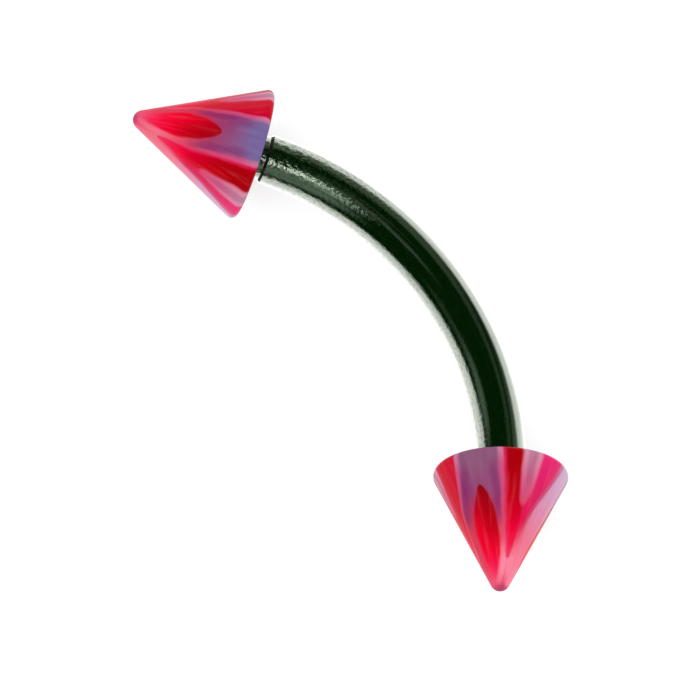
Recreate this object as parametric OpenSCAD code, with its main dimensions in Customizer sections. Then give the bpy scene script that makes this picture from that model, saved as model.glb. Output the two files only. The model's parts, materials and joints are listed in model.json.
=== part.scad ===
// Curved barbell for an eyebrow piercing, in millimetres.
// A bent steel rod carries a marbled acrylic cone on each end.
// The piece lies as it rests by itself: on the rims of both cones and on the middle of the bend.
// +X runs along the chord from the left cone to the right cone, +Y is the side the bend bulges to,
// and the origin is on the surface it lies on, under the middle of its box.

/* [Rod] */
// Diameter of the rod, 16 gauge
bar_d = 1.2; // [1:0.05:1.6]
// Radius of the bend, at the middle of the rod
bend_r = 7.6; // [6.5:0.1:14]
// Angle that the rod turns through from shoulder to shoulder
bend_angle = 78; // [54:1:90]
// Length of the bevel at each shoulder
bevel_len = 0.2; // [0.05:0.05:0.35]
// How much the bevel takes off the rod's radius
bevel_depth = 0.06; // [0.02:0.01:0.1]

/* [Screw pins] */
// Diameter of the pin that stands for the thread
pin_d = 0.98; // [0.7:0.02:1]
// Length of the pin beyond the shoulder
pin_len = 1.8; // [1.2:0.1:2.2]
// Bevel on the end of the pin
pin_bevel = 0.12; // [0.05:0.01:0.2]

/* [Cones] */
// Diameter of a cone at its rim
cone_d = 3.2; // [2.8:0.05:4]
// Height of a cone from its base to its tip
cone_h = 3.05; // [2.8:0.05:4.5]
// Radius of the rounded tip
tip_r = 0.24; // [0.15:0.01:0.5]
// Radius of the rounded rim
rim_r = 0.12; // [0.04:0.01:0.25]

/* [Fit of a cone on its pin] */
// Gap all round between the pin and the wall of the bore
pin_clearance = 0.04; // [0.01:0.01:0.1]
// Gap between the end of the pin and the floor of the bore
end_clearance = 0.1; // [0.05:0.05:0.3]
// Run-out of the thread left between the shoulder and the base of the cone
stand_off = 0.1; // [0.02:0.02:0.3]
// Bevel at the mouth of the bore
mouth_bevel = 0.08; // [0.02:0.01:0.15]

/* [Hidden] */
$fn = 96;

half_bend = bend_angle / 2;
bar_r = bar_d / 2;
pin_r = pin_d / 2;
bore_r = pin_r + pin_clearance;
bore_depth = pin_len - stand_off + end_clearance;

// How far the centre of the cone's base lies behind the middle of the bend
base_back = bend_r * (1 - cos(half_bend)) + stand_off * sin(half_bend);

// Centres of the circles that round the tip and the rim, as a height above the base and a radius
tip_centre = cone_h - tip_r;
rim_centre = [rim_r, cone_d / 2 - rim_r];

// Slope of the cone's flank from its axis: the line that touches both of those circles
centres_run = tip_centre - rim_centre[0];
centres_fall = rim_centre[1];
flank_angle = atan(centres_fall / centres_run) + asin((rim_r - tip_r) / norm([centres_run, centres_fall]));

// How far the pin's root and the tool that cuts the bevel reach past the surfaces they meet
pin_root = 0.3;
cut_past = 0.2;

// Facets in each rounded corner of the cone's outline
rim_steps = 10;
tip_steps = 10;

// How far a cone reaches from the middle of the bend, in a direction square to the chord.
// share is the part of that direction that points the way the bend bulges.
function cone_reach(share) =
    let (along = -sin(half_bend) * share)
    let (across = sqrt(1 - along * along))
    let (tip = tip_centre * along + tip_r)
    let (rim = rim_centre[0] * along + rim_centre[1] * across + rim_r)
    -base_back * share + max(tip, rim);

// Tilt at which the cones' rims reach as far down as the middle of the bend does
function rest_tilt(low, high, steps) =
    let (middle = (low + high) / 2)
    steps == 0 ? middle
    : cone_reach(sin(middle)) > bar_r ? rest_tilt(middle, high, steps - 1)
    : rest_tilt(low, middle, steps - 1);

tilt = rest_tilt(0, 90, 40);
front = max(bar_r, cone_reach(cos(tilt)));
back = cone_reach(-cos(tilt));

// Lays the barbell down: its bend is drawn flat, with the middle of the bend at the origin
module lie_down() {
    translate([0, (back - front) / 2, bar_r])
    rotate([-tilt, 0, 0])
    children();
}

// Puts a child, drawn along +Z, on to the right end of the bend, pointing outwards
module on_right_end() {
    translate([bend_r * sin(half_bend), -bend_r * (1 - cos(half_bend)), 0])
    rotate([0, 90, -half_bend])
    children();
}

module on_left_end() {
    mirror([1, 0, 0])
    on_right_end()
    children();
}

// Points of an arc, from one angle to another, about a centre given as a height and a radius
function arc_points(centre, radius, from, to, steps) = [
    for (i = [0:steps])
    let (angle = from + (to - from) * i / steps)
    [centre[1] + radius * cos(angle), centre[0] + radius * sin(angle)]
];

module bent_rod() {
    translate([0, -bend_r, 0])
    rotate_extrude(angle = bend_angle, start = 90 - half_bend)
    translate([bend_r, 0])
    circle(r = bar_r);
}

// Ring that cuts the bevel off the edge of a shoulder
module bevel_cut() {
    slope = bevel_depth / bevel_len;
    wide = bar_r + cut_past * slope;
    narrow = bar_r - bevel_depth - cut_past * slope;
    rotate_extrude()
    polygon([[wide, -bevel_len - cut_past], [wide, cut_past], [narrow, cut_past]]);
}

// Pin that stands for the screw thread, rooted in the rod
module pin() {
    rotate_extrude()
    polygon([
        [0, -pin_root],
        [pin_r, -pin_root],
        [pin_r, pin_len - pin_bevel],
        [pin_r - pin_bevel, pin_len],
        [0, pin_len]
    ]);
}

module curved_bar() {
    color("dimgray")
    lie_down() {
        difference() {
            bent_rod();
            on_right_end() bevel_cut();
            on_left_end() bevel_cut();
        }
        on_right_end() pin();
        on_left_end() pin();
    }
}

// Cone with its base at zero and its tip up, bored from the base for the pin
module cone() {
    rotate_extrude()
    polygon(concat(
        [[0, bore_depth], [bore_r, bore_depth], [bore_r, mouth_bevel], [bore_r + mouth_bevel, 0]],
        arc_points(rim_centre, rim_r, -90, flank_angle, rim_steps),
        arc_points([tip_centre, 0], tip_r, flank_angle, 90, tip_steps)
    ));
}

module seated_cone() {
    translate([0, 0, stand_off])
    cone();
}

module left_cone() {
    color("crimson")
    lie_down()
    on_left_end() seated_cone();
}

module right_cone() {
    color("crimson")
    lie_down()
    on_right_end() seated_cone();
}

curved_bar();
left_cone();
right_cone();
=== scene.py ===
# A curved eyebrow barbell: a bent steel rod with a marbled acrylic cone screwed on to each end.
import json
import math

import bmesh
import bpy
from mathutils import Matrix, Vector


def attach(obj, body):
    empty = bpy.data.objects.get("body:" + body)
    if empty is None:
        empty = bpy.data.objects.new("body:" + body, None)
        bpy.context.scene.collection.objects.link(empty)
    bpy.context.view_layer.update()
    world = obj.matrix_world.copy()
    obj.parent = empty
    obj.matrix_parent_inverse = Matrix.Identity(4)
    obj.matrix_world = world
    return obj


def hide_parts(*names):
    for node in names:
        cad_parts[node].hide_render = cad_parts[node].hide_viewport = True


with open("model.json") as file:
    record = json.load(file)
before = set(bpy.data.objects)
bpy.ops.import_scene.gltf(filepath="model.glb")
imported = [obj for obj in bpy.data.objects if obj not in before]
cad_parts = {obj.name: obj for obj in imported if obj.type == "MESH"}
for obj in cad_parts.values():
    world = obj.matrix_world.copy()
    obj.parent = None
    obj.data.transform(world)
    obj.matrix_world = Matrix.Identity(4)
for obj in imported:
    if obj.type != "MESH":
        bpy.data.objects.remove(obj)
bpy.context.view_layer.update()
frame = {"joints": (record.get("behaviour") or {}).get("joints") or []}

# The two ends of the barbell, as the sign of x.
LEFT = -1
RIGHT = 1

# Sizes of the barbell in millimetres, the same as in the part's source.
MM = 0.001
ROD_RADIUS = 0.6
BEND_RADIUS = 7.6
HALF_BEND = math.radians(39)
BEVEL_DEPTH = 0.06
PIN_LENGTH = 1.8
CONE_RADIUS = 1.6
CONE_HEIGHT = 3.05
TIP_ROUNDING = 0.24
RIM_ROUNDING = 0.12
BORE_RADIUS = 0.53
BORE_DEPTH = 1.8
MOUTH_BEVEL = 0.08
STAND_OFF = 0.1
BEND_MIDDLE = Vector((0.0, 1.342196, 0.6))

# The screw thread that is cut on each pin, which the part's source leaves plain, in millimetres.
# The width and the start of its ridge are shares of the pitch, and its crest's width is a share of
# the ridge's own.
THREAD_CREST = 0.49
THREAD_ROOT = 0.4
THREAD_PITCH = 0.25
THREAD_TURNS = 6
THREAD_START = 0.14
NECK_RADIUS = THREAD_ROOT + 0.03
NECK_STEP = 0.02
PIN_BEVEL = 0.08
RIDGE_SUNK = 0.03
RIDGE_WIDTH = 0.62
RIDGE_START = 0.3
CREST_WIDTH = 0.22

# How finely the round shapes are cut, and how close a point is to a ring that it belongs to.
ROD_SIDES = 96
BEND_STEPS = 156
BEVEL_STEPS = 3
THREAD_STEPS = 64
CONE_SIDES = 160
CORNER_STEPS = 10
TIP_TURN = math.pi / 2 * 0.98
SMOOTH_UNDER = math.radians(32)
OFF_PLANE = 0.001
OFF_RING = 0.01

# Where the rod's grain and dents begin and are full, in millimetres along the bend from its middle, or
# off the rod's middle line where the name says across. The grain's depth is in metres.
HELD_LEFT = (-0.6, -3.4)
HELD_ACROSS = (0.3, 0.46)
DENTED_LEFT = (-3.5, -4.8)
GRAIN_DEPTH = 0.000009

# Fine noise in the steel and in the acrylic: how drawn out it is, how fine, and in how many layers.
SAND = (0.7, 15.0, 2.0)
DRAWN_LINES = (0.08, 9.0, 2.0)
DENTS = (1.0, 7.0, 1.0)
STREAKS = (1.0, 12.0, 3.0)

STEEL_DULLER = (0.58, 0.61, 0.57, 1)
STEEL_BRIGHTER = (0.66, 0.68, 0.64, 1)
STEEL_PIT = (0.2, 0.23, 0.2, 1)

# The swirl in the acrylic: red petals, with red and magenta bands between them on a lavender ground.
# Widths and places across it are shares of REPEAT, and each point of a curve below starts with the
# share of the way from the tip to the base.
REPEAT = math.radians(60)
SQUEEZE = math.radians(4.5)
BAND_SWAY = 0.09
CURVE_LIFT = 0.06
FAR_NARROWING = 0.5
PETAL_HALF = (
    (0, 0), (0.035, 0), (0.07, 0.2), (0.12, 0.34), (0.2, 0.40), (0.3, 0.425), (0.4, 0.385), (0.5, 0.32),
    (0.6, 0.195), (0.68, 0.07), (0.725, 0), (1, 0))
BAND_MIDDLE = (
    (0, 0.69), (0.3, 0.69), (0.4, 0.67), (0.5, 0.64), (0.7, 0.6), (0.8, 0.57), (0.9, 0.54), (1, 0.53))
BAND_HALF = (
    (0, 0), (0.2, 0), (0.225, 0.07), (0.3, 0.16), (0.4, 0.23), (0.5, 0.3), (0.6, 0.37), (0.7, 0.435),
    (0.8, 0.485), (0.9, 0.53), (1, 0.56))
NOTCH_HALF = ((0, 0), (0.56, 0), (0.62, 0.03), (0.7, 0.07), (0.8, 0.095), (0.9, 0.105), (1, 0.1))

# Where each soft mark of the swirl begins and is full. The first five are shares of REPEAT in from the
# edge of a band or notch, the next is millimetres in from an edge, and the others are shares of the
# way from the tip to the base.
PALE_LINE = (-0.14, -0.05)
VIOLET_STREAK = (-0.34, -0.2)
BAND_RIM = (0.09, 0.0)
NOTCH_OUTLINE = (-0.09, -0.02)
NOTCH_INSIDE = (-0.01, 0.07)
SOFT_EDGE = (-0.04, 0.03)
LINE_STARTS = (0.18, 0.3)
STREAK_STARTS = (0.4, 0.55)
STREAK_ENDS = (0.95, 0.8)
OUTLINE_STARTS = (0.54, 0.62)
BAND_SHIFTS = (0.45, 0.8)
TIP_SHADE = (0.045, 0.0)

# How far the swirl drifts off its drawn place, in millimetres, and how finely.
DRIFT = (0.16, 0.16, 0.16)
DRIFT_NOISE = (1.3, 2.0)

# The studio's even light, and the share of it that each paint gives back where its colour is named
# as the photograph shows it.
EVEN_LIGHT = 1.3
PAINT_SHARE = 0.79

# What polished steel sees. Each soft panel has its direction, as degrees from the camera and degrees
# round from the picture's right, its inner and outer reach in degrees, and its light.
# The room's own light goes from the direction of its middle, 0, to the opposite one, 1.
DARK_ROOM = (0.0008, 0.0135, 0.0008, 1)
ROOM_MIDDLE = (8, 45)
ROOM_SHADES = (
    (0.0, DARK_ROOM), (0.44, DARK_ROOM), (0.465, (0.02, 0.035, 0.02, 1)), (0.494, (0.25, 0.29, 0.24, 1)),
    (0.53, (0.72, 0.76, 0.7, 1)), (0.61, (0.88, 0.91, 0.86, 1)), (0.71, (1.05, 1.07, 1.03, 1)),
    (0.76, (1.5, 1.5, 1.5, 1)),
)
SOFT_PANELS = (
    ((10, 318), 2, 10, (0.75, 0.85, 0.72, 1)),
    ((12, 310), 1, 5, (0.8, 0.8, 0.75, 1)),
    ((20, 284), 1, 9, (0.6, 0.62, 0.56, 1)),
    ((9, 262), 3, 15, (0.32, 0.42, 0.32, 1)),
    ((22, 238), 2, 11, (0.2, 0.25, 0.2, 1)),
    ((11, 60), 3, 12, (0.06, 0.08, 0.06, 1)),
    ((15, 115), 2, 11, (0.04, 0.05, 0.04, 1)),
    ((31, 60), 2, 9, (0.02, 0.03, 0.02, 1)),
    ((46, 260), 12, 30, (0.11, 0.15, 0.11, 1)),
    ((63, 155), 3, 20, (0.08, 0.11, 0.08, 1)),
    ((54, 178), 3, 16, (0.02, 0.03, 0.02, 1)),
    ((86, 74), 8, 32, (0.11, 0.14, 0.10, 1)),
    ((85, 22), 8, 24, (0.06, 0.08, 0.06, 1)),
    ((65, 50), 3, 13, (0.02, 0.03, 0.02, 1)),
)

# The floor, in metres, and how much light of its own keeps it pale.
FLOOR_SIZE = 2.0
FLOOR_GLOW = 0.6

# Where a Mix node takes and gives its colours.
MIX_SHARE = 0
MIX_UNDER = 6
MIX_OVER = 7
MIX_RESULT = 2

# The photograph's viewing angle. The camera looks down on the barbell from 250 mm away.
CAMERA_AZIMUTH = math.radians(111.64)
CAMERA_HEIGHT = math.radians(78.302)
CAMERA_ROLL = math.radians(-59.838)
CAMERA_DISTANCE = 250.0
CAMERA_AIM = Vector((0.1446, -1.2768, 0.7722))
CAMERA_LENS = 539.088
SENSOR_WIDTH = 36


# Placing

def camera_directions():
    """The camera's own right, up and back."""
    level = Vector((math.cos(CAMERA_AZIMUTH), math.sin(CAMERA_AZIMUTH), 0))
    flat_back = Vector((math.sin(CAMERA_AZIMUTH), -math.cos(CAMERA_AZIMUTH), 0))
    back = flat_back * math.cos(CAMERA_HEIGHT) + Vector((0, 0, math.sin(CAMERA_HEIGHT)))
    upright = back.cross(level)
    right = level * math.cos(CAMERA_ROLL) + upright * math.sin(CAMERA_ROLL)
    return right, back.cross(right), back


CAMERA_RIGHT, CAMERA_UP, CAMERA_BACK = camera_directions()


def lying_tilt():
    """How far the bend leans over as the barbell lies on a surface, from the way a cone comes off."""
    ways = {joint["name"]: Vector(joint["axis"]).normalized() for joint in frame["joints"]}
    way = ways["right_cone_unscrew"]
    return math.atan2(way.z, -way.y)


def lay_down():
    """Turns the flat drawing of the bend to the way the barbell lies."""
    return Matrix.Translation(BEND_MIDDLE) @ Matrix.Rotation(-lying_tilt(), 4, "X")


def along_bend(side, angle):
    """Centre of the rod at an angle from the middle of the bend, and the way the rod runs there."""
    across = BEND_RADIUS * math.sin(angle)
    back = BEND_RADIUS * (1 - math.cos(angle))
    return Vector((side * across, -back, 0)), Vector((side * math.cos(angle), -math.sin(angle), 0))


def bend_end(side):
    """Centre of the left or right shoulder in the flat drawing."""
    return along_bend(side, HALF_BEND)[0]


def end_direction(side):
    """The way an end of the rod points, in the flat drawing."""
    return along_bend(side, HALF_BEND)[1]


def cone_seat(side):
    """Matrix of a cone on its end: z from base to tip, x towards the side that the photograph shows."""
    to_tip = (lay_down().to_3x3() @ end_direction(side)).normalized()
    base = lay_down() @ (bend_end(side) + end_direction(side) * STAND_OFF)
    seen = (CAMERA_BACK - to_tip * CAMERA_BACK.dot(to_tip)).normalized()
    beside = to_tip.cross(seen)
    turned = Matrix((seen, beside, to_tip)).transposed().to_4x4()
    return Matrix.Translation(base) @ turned


# Modelling by hand

def take(piece):
    """Makes one piece the only selected and active object."""
    bpy.ops.object.select_all(action="DESELECT")
    piece.select_set(True)
    bpy.context.view_layer.objects.active = piece


def fix_in_mesh():
    """Moves an object's place, turn and scale into its mesh."""
    bpy.ops.object.transform_apply(location=True, rotation=True, scale=True)


def settle(piece, seat):
    """Puts a finished piece in its place, in metres, with its object at the origin."""
    take(piece)
    piece.matrix_world = Matrix.Scale(MM, 4) @ seat
    fix_in_mesh()
    bpy.ops.object.shade_smooth_by_angle(angle=SMOOTH_UNDER)


def pick_points(wanted):
    """In edit mode, selects the points whose place passes a test."""
    mesh = bpy.context.edit_object.data
    shape = bmesh.from_edit_mesh(mesh)
    for point in shape.verts:
        point.select = wanted(point.co)
    shape.select_mode = {"VERT"}
    shape.select_flush_mode()
    bmesh.update_edit_mesh(mesh)


def pick_ring(centre, direction, radius):
    """In edit mode, selects the ring of points that lies square to a direction about a centre."""
    def on_ring(place):
        away = place - centre
        return abs(away.dot(direction)) < OFF_PLANE and away.length < radius + OFF_RING
    pick_points(on_ring)


def pull_ring(centre, direction, radius, steps):
    """Extrudes the selected ring through steps of (distance along, new radius)."""
    for along, new_radius in steps:
        bpy.ops.mesh.extrude_region_move(TRANSFORM_OT_translate={"value": direction * along})
        centre = centre + direction * along
        share = new_radius / radius
        bpy.ops.transform.resize(value=(share, share, share), center_override=centre)
        radius = new_radius


def face_outwards():
    """In edit mode, turns all faces outwards."""
    bpy.ops.mesh.select_all(action="SELECT")
    bpy.ops.mesh.normals_make_consistent(inside=False)


# The steel rod

def bent_rod():
    """The rod's bend: a ring of steel spun about the centre of the bend."""
    bpy.ops.object.select_all(action="DESELECT")
    bpy.ops.mesh.primitive_circle_add(
        vertices=ROD_SIDES,
        radius=ROD_RADIUS,
        location=bend_end(LEFT),
        rotation=(0, math.pi / 2, HALF_BEND),
    )
    rod = bpy.context.object
    rod.name = "steel_rod"
    fix_in_mesh()
    bpy.ops.object.mode_set(mode="EDIT")
    bpy.ops.mesh.select_all(action="SELECT")
    bpy.ops.mesh.spin(
        steps=BEND_STEPS,
        angle=2 * HALF_BEND,
        center=(0, -BEND_RADIUS, 0),
        axis=(0, 0, 1),
    )
    return rod


def bevel_shoulder(side):
    """In edit mode, narrows the last rings of the bend into a short collar."""
    share = 1 - BEVEL_DEPTH / ROD_RADIUS
    for step in range(BEVEL_STEPS):
        angle = HALF_BEND * (1 - 2 * step / BEND_STEPS)
        centre, direction = along_bend(side, angle)
        pick_ring(centre, direction, ROD_RADIUS)
        bpy.ops.transform.resize(value=(share, share, share), center_override=centre)


def rod_end(side):
    """In edit mode, draws the shoulder, neck and thread core out of one end of the bend."""
    direction = end_direction(side)
    start = bend_end(side)
    shoulder = ROD_RADIUS - BEVEL_DEPTH
    pick_ring(start, direction, shoulder)
    core = PIN_LENGTH - THREAD_START - PIN_BEVEL
    pull_ring(start, direction, shoulder, [
        (0.0, NECK_RADIUS + NECK_STEP),
        (NECK_STEP, NECK_RADIUS),
        (THREAD_START - 2 * NECK_STEP, NECK_RADIUS),
        (NECK_STEP, THREAD_ROOT),
        (core, THREAD_ROOT),
        (PIN_BEVEL, THREAD_ROOT - PIN_BEVEL),
    ])
    bpy.ops.mesh.edge_face_add()


def ridge_outline():
    """Outline of a thread ridge, beside the axis that it is wound about, and narrow at its crest."""
    depth = THREAD_CREST - THREAD_ROOT + RIDGE_SUNK
    middle = THREAD_CREST - depth / 2
    bpy.ops.object.select_all(action="DESELECT")
    bpy.ops.mesh.primitive_plane_add(size=1, location=(middle, 0, 0), rotation=(math.pi / 2, 0, 0))
    ridge = bpy.context.object
    ridge.name = "thread_ridge"
    ridge.scale = (depth, THREAD_PITCH * RIDGE_WIDTH, 1)
    fix_in_mesh()
    bpy.ops.object.mode_set(mode="EDIT")
    pick_points(lambda place: place.x > middle)
    bpy.ops.transform.resize(value=(1, 1, CREST_WIDTH), center_override=(THREAD_CREST, 0, 0))
    bpy.ops.mesh.select_all(action="SELECT")
    bpy.ops.mesh.delete(type="ONLY_FACE")
    bpy.ops.object.mode_set(mode="OBJECT")
    return ridge


def wind_up(ridge):
    """Winds the outline of a ridge into a right-handed thread, closed at both ends."""
    winding = ridge.modifiers.new("winding", "SCREW")
    winding.axis = "Z"
    winding.angle = 2 * math.pi
    winding.screw_offset = THREAD_PITCH
    winding.iterations = THREAD_TURNS
    winding.steps = THREAD_STEPS
    winding.render_steps = THREAD_STEPS
    winding.use_merge_vertices = False
    bpy.ops.object.modifier_apply(modifier=winding.name)
    bpy.ops.object.mode_set(mode="EDIT")
    bpy.ops.mesh.select_all(action="SELECT")
    bpy.ops.mesh.fill_holes(sides=4)
    face_outwards()
    bpy.ops.object.mode_set(mode="OBJECT")


def screw_thread(side):
    """A thread ridge in its place round one pin."""
    ridge = ridge_outline()
    wind_up(ridge)
    direction = end_direction(side)
    ridge.rotation_mode = "QUATERNION"
    ridge.rotation_quaternion = direction.to_track_quat("Z", "Y")
    ridge.location = bend_end(side) + direction * (THREAD_START + THREAD_PITCH * RIDGE_START)
    fix_in_mesh()
    return ridge


def cut_thread(rod, side):
    """Joins a thread ridge to the rod as one solid."""
    ridge = screw_thread(side)
    take(rod)
    joining = rod.modifiers.new("thread", "BOOLEAN")
    joining.operation = "UNION"
    joining.solver = "EXACT"
    joining.object = ridge
    bpy.ops.object.modifier_apply(modifier=joining.name)
    bpy.data.objects.remove(ridge)


def steel_rod():
    rod = bent_rod()
    for side in (LEFT, RIGHT):
        bevel_shoulder(side)
        rod_end(side)
    face_outwards()
    bpy.ops.object.mode_set(mode="OBJECT")
    for side in (LEFT, RIGHT):
        cut_thread(rod, side)
    settle(rod, lay_down())
    return rod


# The acrylic cones

def flank_angle():
    """Slope of the cone's flank, from the line that touches the rounded rim and the rounded tip."""
    run = CONE_HEIGHT - TIP_ROUNDING - RIM_ROUNDING
    fall = CONE_RADIUS - RIM_ROUNDING
    return math.atan2(fall, run) + math.asin((RIM_ROUNDING - TIP_ROUNDING) / math.hypot(run, fall))


def rounded_corner(height, radius, rounding, start, end):
    """Points (height, radius) round a corner, from one angle to another."""
    points = []
    for step in range(CORNER_STEPS + 1):
        angle = start + (end - start) * step / CORNER_STEPS
        points.append((height + rounding * math.sin(angle), radius + rounding * math.cos(angle)))
    return points


def cone_outline():
    """The cone's outline as (height, radius), from the floor of the bore round to the tip."""
    flank = flank_angle()
    rim_centre = CONE_RADIUS - RIM_ROUNDING
    tip_centre = CONE_HEIGHT - TIP_ROUNDING
    points = [(BORE_DEPTH, BORE_RADIUS), (MOUTH_BEVEL, BORE_RADIUS), (0.0, BORE_RADIUS + MOUTH_BEVEL)]
    points += rounded_corner(RIM_ROUNDING, rim_centre, RIM_ROUNDING, -math.pi / 2, flank)
    points += rounded_corner(tip_centre, 0.0, TIP_ROUNDING, flank, TIP_TURN)
    return points


def acrylic_cone(name, side):
    """A cone drawn out ring by ring along its outline, closed at the tip and the floor of its bore."""
    outline = cone_outline()
    height, radius = outline[0]
    bpy.ops.object.select_all(action="DESELECT")
    bpy.ops.mesh.primitive_circle_add(vertices=CONE_SIDES, radius=radius, location=(0, 0, height))
    cone = bpy.context.object
    cone.name = name
    fix_in_mesh()
    bpy.ops.object.mode_set(mode="EDIT")
    bpy.ops.mesh.select_all(action="SELECT")
    steps = []
    for below, above in zip(outline, outline[1:]):
        steps.append((above[0] - below[0], above[1]))
    upwards = Vector((0, 0, 1))
    pull_ring(Vector((0, 0, height)), upwards, radius, steps)
    bpy.ops.mesh.merge(type="CENTER")
    pick_ring(Vector((0, 0, BORE_DEPTH)), upwards, BORE_RADIUS)
    bpy.ops.mesh.edge_face_add()
    face_outwards()
    bpy.ops.object.mode_set(mode="OBJECT")
    settle(cone, cone_seat(side))
    return cone


# Finishes

def colour(red, green, blue):
    """A colour as it looks in the studio's light, 0 to 255, turned into paint."""
    def paint(value):
        share = value / 255
        straight = share / 12.92 if share <= 0.04045 else ((share + 0.055) / 1.055) ** 2.4
        return straight * PAINT_SHARE
    return (paint(red), paint(green), paint(blue), 1.0)


def add(tree, kind, **settings):
    made = tree.nodes.new(kind)
    for name, value in settings.items():
        setattr(made, name, value)
    return made


def feed(tree, made, socket, value):
    """Links a socket to a value that a node gives, or sets it where the value is a plain one."""
    target = made.inputs[socket]
    if isinstance(value, bpy.types.NodeSocket):
        tree.links.new(value, target)
    else:
        target.default_value = value


def work_out(tree, operation, first, second=0.0, third=0.0):
    made = add(tree, "ShaderNodeMath", operation=operation)
    for socket, value in enumerate((first, second, third)):
        feed(tree, made, socket, value)
    return made.outputs[0]


def work_out_vector(tree, operation, *values):
    made = add(tree, "ShaderNodeVectorMath", operation=operation)
    for socket, value in enumerate(values):
        feed(tree, made, socket, value)
    return made.outputs


def axes_of(tree, place):
    """The x, y and z of a place."""
    made = add(tree, "ShaderNodeSeparateXYZ")
    feed(tree, made, "Vector", place)
    return tuple(made.outputs)


def place_of(tree, x, y, z):
    """The place that has this x, y and z."""
    made = add(tree, "ShaderNodeCombineXYZ")
    for socket, value in enumerate((x, y, z)):
        feed(tree, made, socket, value)
    return made.outputs["Vector"]


def off_axis(tree, first, second):
    """Distance from an axis, from the two coordinates that are square to it."""
    squares = work_out(tree, "MULTIPLY", second, second)
    return work_out(tree, "SQRT", work_out(tree, "MULTIPLY_ADD", first, first, squares))


def noise(tree, place, scale, detail):
    made = add(tree, "ShaderNodeTexNoise")
    feed(tree, made, "Vector", place)
    feed(tree, made, "Scale", scale)
    feed(tree, made, "Detail", detail)
    return made.outputs


def fade(tree, value, start, end, low=0.0, high=1.0):
    """Goes softly from low to high while the value goes from start to end."""
    made = add(tree, "ShaderNodeMapRange", interpolation_type="SMOOTHSTEP")
    feed(tree, made, "Value", value)
    made.inputs["From Min"].default_value = start
    made.inputs["From Max"].default_value = end
    made.inputs["To Min"].default_value = low
    made.inputs["To Max"].default_value = high
    return made.outputs["Result"]


def layer(tree, share, under, over, blend="MIX"):
    """Lays one colour over another."""
    made = add(tree, "ShaderNodeMix", data_type="RGBA", blend_type=blend)
    feed(tree, made, MIX_SHARE, share)
    feed(tree, made, MIX_UNDER, under)
    feed(tree, made, MIX_OVER, over)
    return made.outputs[MIX_RESULT]


def shades(tree, value, stops):
    """A run of colours along a value."""
    made = add(tree, "ShaderNodeValToRGB")
    feed(tree, made, "Fac", value)
    ramp = made.color_ramp
    while len(ramp.elements) < len(stops):
        ramp.elements.new(1.0)
    for element, (place, shade) in zip(ramp.elements, stops):
        element.position = place
        element.color = shade
    return made.outputs["Color"]


def tints(tree, value, stops):
    """A run of colours along a value, each named as it looks in the studio's light."""
    return shades(tree, value, [(place, colour(*tint)) for place, tint in stops])


def curve(tree, value, points):
    """A drawn curve over the share from the tip, 0, to the base, 1."""
    made = add(tree, "ShaderNodeFloatCurve")
    feed(tree, made, "Value", value)
    line = made.mapping.curves[0]
    while len(line.points) < len(points):
        line.points.new(0.5, 0.5)
    for dot, (place, height) in zip(line.points, points):
        dot.location = (place, height)
        dot.handle_type = "AUTO_CLAMPED"
    made.mapping.update()
    return made.outputs["Value"]


def new_finish(name):
    finish = bpy.data.materials.new(name)
    finish.use_nodes = True
    tree = finish.node_tree
    tree.nodes.clear()
    surface = add(tree, "ShaderNodeBsdfPrincipled")
    output = add(tree, "ShaderNodeOutputMaterial")
    feed(tree, output, "Surface", surface.outputs["BSDF"])
    return finish, tree, surface


def in_piece(tree, seat):
    """Object coordinates in millimetres, counted from a piece's own seat."""
    place = add(tree, "ShaderNodeMapping", vector_type="TEXTURE")
    feed(tree, place, "Vector", add(tree, "ShaderNodeTexCoord").outputs["Object"])
    place.inputs["Location"].default_value = seat.to_translation() * MM
    place.inputs["Rotation"].default_value = seat.to_euler()
    place.inputs["Scale"].default_value = (MM, MM, MM)
    return place.outputs["Vector"]


def along_the_rod(tree):
    """Millimetres along the bend, out from its centre, and across it."""
    x, y, z = axes_of(tree, in_piece(tree, lay_down()))
    outwards = work_out(tree, "ADD", y, BEND_RADIUS)
    turn = work_out(tree, "ARCTAN2", x, outwards)
    along = work_out(tree, "MULTIPLY", turn, BEND_RADIUS)
    return place_of(tree, along, off_axis(tree, x, outwards), z)


def speckle(tree, place, stretch, scale, detail):
    """Fine noise, drawn out along the first axis where stretch is under 1."""
    drawn = work_out_vector(tree, "MULTIPLY", place, (stretch, 1, 1))["Vector"]
    return noise(tree, drawn, scale, detail)["Fac"]


def held_share(tree, along, outwards):
    """How much of the grain a point has: most at the left end, less inside the bend."""
    start, full = HELD_ACROSS
    off_centre = work_out(tree, "ABSOLUTE", work_out(tree, "SUBTRACT", outwards, BEND_RADIUS))
    faded = fade(tree, off_centre, start, full, 1.0, 0.3)
    left_end = work_out(tree, "MULTIPLY", fade(tree, along, *HELD_LEFT), faded)
    inside_bend = fade(tree, outwards, BEND_RADIUS - start, BEND_RADIUS - full, 0.0, 0.45)
    return work_out(tree, "MAXIMUM", left_end, inside_bend)


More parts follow.
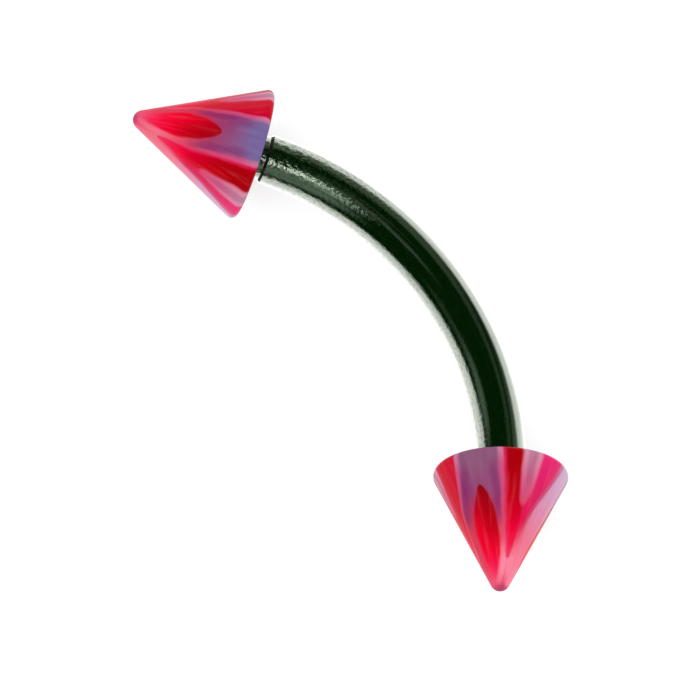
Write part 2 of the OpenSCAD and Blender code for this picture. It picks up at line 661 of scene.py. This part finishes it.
def polished_steel():
    """Surgical steel, polished. It keeps the faint lines of its drawing, and a sandy grain that is
    strongest at its left end and inside the bend, where it was held to be bent."""
    finish, tree, surface = new_finish("polished_surgical_steel")
    place = along_the_rod(tree)
    along, outwards, _ = axes_of(tree, place)
    held = held_share(tree, along, outwards)
    sand = speckle(tree, place, *SAND)
    lines = speckle(tree, place, *DRAWN_LINES)
    deeper = fade(tree, along, *DENTED_LEFT, 0.0, 2.5)
    dents = work_out(tree, "MULTIPLY_ADD", speckle(tree, place, *DENTS), deeper, sand)
    height = work_out(tree, "MULTIPLY_ADD", lines, 0.25, dents)
    bump = add(tree, "ShaderNodeBump")
    feed(tree, bump, "Strength", fade(tree, held, 0.0, 1.0, 0.15, 1.0))
    bump.inputs["Distance"].default_value = GRAIN_DEPTH
    feed(tree, bump, "Height", height)
    feed(tree, surface, "Normal", bump.outputs["Normal"])
    tone = layer(tree, fade(tree, lines, 0.35, 0.65), STEEL_DULLER, STEEL_BRIGHTER)
    pitted = fade(tree, held, 0.0, 1.0, 0.1, 0.6)
    pits = work_out(tree, "MULTIPLY", fade(tree, sand, 0.52, 0.36), pitted)
    feed(tree, surface, "Base Color", layer(tree, pits, tone, STEEL_PIT))
    feed(tree, surface, "Roughness", fade(tree, sand, 0.3, 0.7, 0.02, 0.06))
    surface.inputs["Metallic"].default_value = 1.0
    return finish


def swirled_place(tree, seat):
    """The cone's own coordinates, drifting a little so that no edge of the swirl is quite true."""
    place = in_piece(tree, seat)
    swirl = noise(tree, place, *DRIFT_NOISE)["Color"]
    centred = work_out_vector(tree, "SUBTRACT", swirl, (0.5, 0.5, 0.5))["Vector"]
    return work_out_vector(tree, "MULTIPLY_ADD", centred, DRIFT, place)["Vector"]


def swirl_layout(tree, seat, petal_angle, band_shift):
    """Where a point of the cone lies in the swirl: three petals, with a band between each two."""
    x, y, z = axes_of(tree, swirled_place(tree, seat))
    turn = work_out(tree, "ARCTAN2", y, x)
    off_first = work_out(tree, "SUBTRACT", turn, math.radians(petal_angle))
    sway = work_out(tree, "SINE", off_first)
    squeezed = work_out(tree, "MULTIPLY_ADD", sway, SQUEEZE, off_first)
    down = work_out(tree, "MULTIPLY_ADD", z, -1 / CONE_HEIGHT, 1.0)
    petal = work_out(tree, "WRAP", work_out(tree, "DIVIDE", squeezed, REPEAT), 1.0, -1.0)
    band = work_out(tree, "WRAP", work_out(tree, "ADD", petal, 1.0), 1.0, -1.0)
    swayed = work_out(tree, "ADD", band, work_out(tree, "MULTIPLY_ADD", sway, BAND_SWAY, BAND_SWAY))
    swayed = work_out(tree, "SUBTRACT", swayed, fade(tree, down, *BAND_SHIFTS, band_shift, 0.0))
    return {
        "down": down,
        "petal": petal,
        "notch": band,
        "band": swayed,
        "girth": work_out(tree, "MULTIPLY", down, REPEAT * CONE_RADIUS),
        # The side of the flank that gets the painted shade, and the far left edge, which gets a painted
        # pale sheen and a narrower petal.
        "shaded_side": fade(tree, sway, -0.35, 0.45),
        "far_left": fade(tree, sway, -0.85, -0.97),
    }


def lifted(points):
    """Half widths, lifted so that a width of zero is still a little under nothing."""
    return [(place, width + CURVE_LIFT if width > 0 else 0.0) for place, width in points]


def within(tree, across, middle, half_width):
    """How far inside a shape of the swirl a point lies, from its middle line and half width."""
    off_middle = work_out(tree, "ABSOLUTE", work_out(tree, "SUBTRACT", across, middle))
    spare = work_out(tree, "SUBTRACT", half_width, off_middle)
    return work_out(tree, "SUBTRACT", spare, CURVE_LIFT)


def soft_edge(tree, layout, spare):
    """A shape's soft edge, equally wide all the way down the cone's flank."""
    return fade(tree, work_out(tree, "MULTIPLY", spare, layout["girth"]), *SOFT_EDGE)


def wedge_colour(tree, layout, in_band, pale, lavender):
    """The ground between the bands: pink towards the tip, then violet at its edges, then lavender, with
    painted shade on one side of the flank and a painted pale sheen at its far left edge.
    """
    down = layout["down"]
    lit = tints(tree, down, [
        (0.02, (240, 92, 128)), (0.12, pale), (0.22, pale),
        (0.35, (234, 78, 104)), (0.46, (208, 62, 92)), (0.6, (164, 60, 100)),
        (0.7, (150, 76, 120)), (0.9, lavender)])
    shaded = tints(tree, down, [
        (0.02, (236, 90, 122)), (0.15, (226, 62, 92)), (0.4, (212, 52, 78)),
        (0.54, (180, 52, 86)), (0.72, (142, 58, 110)), (0.88, lavender)])
    # Painted sheen: a paler copy of the ground, laid over it towards the far left edge where the flank
    # turns away.
    painted_edge_sheen = tints(tree, down, [
        (0.1, pale), (0.35, (240, 118, 146)), (0.5, (230, 130, 160)),
        (0.7, (216, 150, 184)), (1.0, (206, 178, 208))])
    # Painted light and shade: a lit copy of the ground on one side of the flank and a shaded copy on the
    # other.
    ground = layer(tree, layout["shaded_side"], lit, shaded)
    beside = fade(tree, in_band, *VIOLET_STREAK)
    streak = work_out(tree, "MULTIPLY", beside, fade(tree, down, *STREAK_STARTS))
    streak = work_out(tree, "MULTIPLY", streak, fade(tree, down, *STREAK_ENDS))
    ground = layer(tree, work_out(tree, "MULTIPLY", streak, 0.55), ground, colour(130, 38, 102))
    return layer(tree, layout["far_left"], ground, painted_edge_sheen)


def band_colour(tree, layout, in_band, in_notch, notch_middle):
    """A red band, darker towards the base, with a magenta side and a pale notch up from the base."""
    down = layout["down"]
    side = work_out(tree, "SUBTRACT", layout["notch"], notch_middle)
    red = tints(tree, down, [
        (0.22, (240, 60, 92)), (0.32, (242, 24, 72)), (0.42, (238, 2, 56)),
        (0.52, (214, 0, 38)), (0.68, (190, 0, 20)), (0.86, (170, 0, 8)),
        (1.0, (172, 0, 10))])
    plain = tints(tree, down, [(0.3, (222, 30, 62)), (0.6, (208, 10, 44)), (1.0, (204, 0, 42))])
    magenta = tints(tree, down, [
        (0.3, (238, 60, 104)), (0.5, (226, 22, 76)), (0.65, (220, 34, 96)),
        (0.85, (226, 36, 106)), (1.0, (234, 44, 116))])
    far_side = layer(tree, layout["shaded_side"], magenta, plain)
    band = layer(tree, fade(tree, side, 0.06, -0.08), red, far_side)
    rim = work_out(tree, "MULTIPLY", fade(tree, in_band, *BAND_RIM), fade(tree, side, 0.0, 0.1))
    band = layer(tree, rim, band, colour(224, 34, 92))
    edge = tints(tree, down, [(0.56, (222, 56, 92)), (0.75, (214, 92, 132)), (1.0, (220, 150, 176))])
    notch = tints(tree, down, [(0.6, (212, 84, 122)), (0.78, (192, 84, 128)), (1.0, (184, 132, 156))])
    beside = fade(tree, in_notch, *NOTCH_OUTLINE)
    outline = work_out(tree, "MULTIPLY", beside, fade(tree, down, *OUTLINE_STARTS))
    band = layer(tree, outline, band, edge)
    return layer(tree, fade(tree, in_notch, *NOTCH_INSIDE), band, notch)


def petal_colour(tree, layout):
    """A petal of clear red, darker towards the base and on its shaded side."""
    down = layout["down"]
    shaded = tints(tree, down, [
        (0.06, (240, 66, 108)), (0.13, (244, 30, 84)), (0.2, (242, 8, 60)),
        (0.3, (232, 0, 42)), (0.4, (198, 0, 22)), (0.52, (176, 0, 14)),
        (0.7, (146, 2, 16))])
    lit = tints(tree, down, [
        (0.06, (244, 72, 112)), (0.2, (248, 10, 62)), (0.3, (240, 0, 46)),
        (0.42, (228, 0, 36)), (0.54, (204, 0, 32)), (0.7, (160, 4, 24))])
    return layer(tree, fade(tree, layout["petal"], -0.2, 0.3), shaded, lit)


def marbled_colour(tree, seat, petal_angle, petal_width, petal_reach, band_shift, notch_middle,
                   pale, lavender):
    """The swirl of the acrylic, drawn by angle about the cone's axis and by share from tip to base."""
    layout = swirl_layout(tree, seat, petal_angle, band_shift)
    down = layout["down"]
    band_middle = work_out(tree, "SUBTRACT", curve(tree, down, BAND_MIDDLE), 0.5)
    in_band = within(tree, layout["band"], band_middle, curve(tree, down, lifted(BAND_HALF)))
    in_notch = within(tree, layout["notch"], notch_middle, curve(tree, down, lifted(NOTCH_HALF)))
    along_petal = work_out(tree, "DIVIDE", down, petal_reach)
    width = work_out(tree, "MULTIPLY_ADD", layout["far_left"], -FAR_NARROWING * petal_width, petal_width)
    petal_half = work_out(tree, "MULTIPLY", curve(tree, along_petal, lifted(PETAL_HALF)), width)
    in_petal = within(tree, layout["petal"], 0.0, petal_half)
    edge = tints(tree, down, [
        (0.22, pale), (0.36, (234, 76, 104)), (0.5, (210, 66, 96)),
        (0.7, (200, 74, 118)), (0.86, (206, 84, 130)), (1.0, (198, 130, 164))])
    swirl = wedge_colour(tree, layout, in_band, pale, lavender)
    line = work_out(tree, "MULTIPLY", fade(tree, in_band, *PALE_LINE), fade(tree, down, *LINE_STARTS))
    swirl = layer(tree, line, swirl, edge)
    band = band_colour(tree, layout, in_band, in_notch, notch_middle)
    swirl = layer(tree, soft_edge(tree, layout, in_band), swirl, band)
    swirl = layer(tree, soft_edge(tree, layout, in_petal), swirl, petal_colour(tree, layout))
    return layer(tree, fade(tree, down, *TIP_SHADE), swirl, colour(176, 66, 104))


def streaks(tree, x, y, z):
    """Fine streaks that run from tip to base, where the layers of plastic were drawn out."""
    turn = work_out(tree, "ARCTAN2", y, x)
    around = place_of(tree,
        work_out(tree, "MULTIPLY", z, 0.09),
        work_out(tree, "COSINE", turn),
        work_out(tree, "SINE", turn))
    return speckle(tree, around, *STREAKS)


def base_shade(tree, x, y, z):
    """The shade on the cone's flat base, deepest round the mouth of the bore, and in the bore."""
    mouth = BORE_RADIUS + MOUTH_BEVEL
    radius = off_axis(tree, x, y)
    depth = fade(tree, radius, CONE_RADIUS - 0.2, ROD_RADIUS + 0.35, 0.35, 0.96)
    on_base = work_out(tree, "MULTIPLY", depth, fade(tree, z, 0.04, 0.004))
    below_floor = fade(tree, z, BORE_DEPTH + 0.1, BORE_DEPTH + 0.02)
    inside = fade(tree, radius, mouth + 0.02, mouth - 0.02, 0.0, 0.9)
    return work_out(tree, "MAXIMUM", on_base, work_out(tree, "MULTIPLY", inside, below_floor))


def marbled_acrylic(name, side, **swirl_settings):
    """Glossy marbled acrylic."""
    finish, tree, surface = new_finish(name)
    seat = cone_seat(side)
    swirl = marbled_colour(tree, seat, **swirl_settings)
    axes = axes_of(tree, in_piece(tree, seat))
    grain = streaks(tree, *axes)
    swirl = layer(tree, fade(tree, grain, 0.48, 0.8, 0.0, 0.06), swirl, colour(255, 170, 190))
    swirl = layer(tree, fade(tree, grain, 0.52, 0.2, 0.0, 0.13), swirl, colour(110, 10, 50))
    swirl = layer(tree, base_shade(tree, *axes), swirl, colour(30, 30, 28))
    feed(tree, surface, "Base Color", swirl)
    surface.inputs["Roughness"].default_value = 0.4
    surface.inputs["Specular IOR Level"].default_value = 0.0
    surface.inputs["Coat Weight"].default_value = 0.3
    surface.inputs["Coat Roughness"].default_value = 0.08
    surface.inputs["Coat IOR"].default_value = 1.4
    return finish


def left_acrylic():
    return marbled_acrylic(
        "marbled_acrylic_left",
        side=LEFT,
        petal_angle=15,
        petal_width=1.08,
        petal_reach=0.95,
        band_shift=-0.05,
        notch_middle=-0.06,
        pale=(240, 112, 132),
        lavender=(118, 102, 156),
    )


def right_acrylic():
    return marbled_acrylic(
        "marbled_acrylic_right",
        side=RIGHT,
        petal_angle=25,
        petal_width=0.97,
        petal_reach=1.04,
        band_shift=0.05,
        notch_middle=0.045,
        pale=(252, 134, 158),
        lavender=(142, 88, 122),
    )


def finish_piece(piece, finish, node_name, body):
    """Gives a piece its finish, and lets it stand for its CAD node and ride on its body."""
    piece.data.materials.clear()
    piece.data.materials.append(finish)
    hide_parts(node_name)
    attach(piece, body)


# Studio

def camera():
    lens = bpy.data.cameras.new("camera")
    lens.sensor_width = SENSOR_WIDTH
    lens.lens = CAMERA_LENS
    lens.clip_start = 0.01
    lens.clip_end = 10
    lens.dof.use_dof = False
    holder = bpy.data.objects.new("camera", lens)
    turned = Matrix((CAMERA_RIGHT, CAMERA_UP, CAMERA_BACK)).transposed().to_4x4()
    stand = (CAMERA_AIM + CAMERA_BACK * CAMERA_DISTANCE) * MM
    holder.matrix_world = Matrix.Translation(stand) @ turned
    bpy.context.collection.objects.link(holder)
    bpy.context.scene.camera = holder


def floor():
    bpy.ops.object.select_all(action="DESELECT")
    bpy.ops.mesh.primitive_plane_add(size=FLOOR_SIZE, location=(0, 0, 0))
    board = bpy.context.object
    board.name = "pale_floor"
    finish, tree, surface = new_finish("pale_floor_paint")
    surface.inputs["Base Color"].default_value = (0.5, 0.5, 0.5, 1)
    surface.inputs["Emission Color"].default_value = (1, 1, 1, 1)
    surface.inputs["Emission Strength"].default_value = FLOOR_GLOW
    surface.inputs["Roughness"].default_value = 1.0
    surface.inputs["Specular IOR Level"].default_value = 0.0
    board.data.materials.append(finish)
    board.visible_glossy = False


def polar(away, turn):
    """A direction some degrees away from the camera's, turned in the picture from its right."""
    sideways = math.sin(math.radians(away))
    right = sideways * math.cos(math.radians(turn))
    up = sideways * math.sin(math.radians(turn))
    back = math.cos(math.radians(away))
    return (CAMERA_RIGHT * right + CAMERA_UP * up + CAMERA_BACK * back).normalized()


def degrees_from(tree, way, direction):
    cosine = work_out_vector(tree, "DOT_PRODUCT", way, direction)["Value"]
    return work_out(tree, "DEGREES", work_out(tree, "ARCCOSINE", cosine))


def steel_room(tree):
    """What polished steel sees: a dark room above, soft panels, and a pale table all round below."""
    way = add(tree, "ShaderNodeTexCoord").outputs["Generated"]
    off_middle = work_out(tree, "DIVIDE", degrees_from(tree, way, polar(*ROOM_MIDDLE)), 180.0)
    room = shades(tree, off_middle, ROOM_SHADES)
    for direction, inner, outer, light in SOFT_PANELS:
        share = fade(tree, degrees_from(tree, way, polar(*direction)), outer, inner)
        room = layer(tree, share, room, light, "ADD")
    return room


def backdrop(tree, light, strength):
    made = add(tree, "ShaderNodeBackground")
    feed(tree, made, "Color", light)
    feed(tree, made, "Strength", strength)
    return made.outputs["Background"]


def studio_light():
    """Even white light all round, and the room that polished steel mirrors in its place."""
    world = bpy.data.worlds.new("studio")
    bpy.context.scene.world = world
    world.use_nodes = True
    tree = world.node_tree
    tree.nodes.clear()
    both = add(tree, "ShaderNodeMixShader")
    feed(tree, both, 0, add(tree, "ShaderNodeLightPath").outputs["Is Glossy Ray"])
    feed(tree, both, 1, backdrop(tree, (1, 1, 1, 1), EVEN_LIGHT))
    feed(tree, both, 2, backdrop(tree, steel_room(tree), 1.0))
    output = add(tree, "ShaderNodeOutputWorld")
    feed(tree, output, "Surface", both.outputs["Shader"])


def true_colours():
    view = bpy.context.scene.view_settings
    view.view_transform = "Standard"
    view.look = "None"
    view.exposure = 0
    view.gamma = 1


camera()
rod = steel_rod()
finish_piece(rod, polished_steel(), "curved_bar", "bar")
left = acrylic_cone("left_acrylic_cone", LEFT)
finish_piece(left, left_acrylic(), "left_cone", "left_cone")
right = acrylic_cone("right_acrylic_cone", RIGHT)
finish_piece(right, right_acrylic(), "right_cone", "right_cone")
floor()
studio_light()
true_colours()
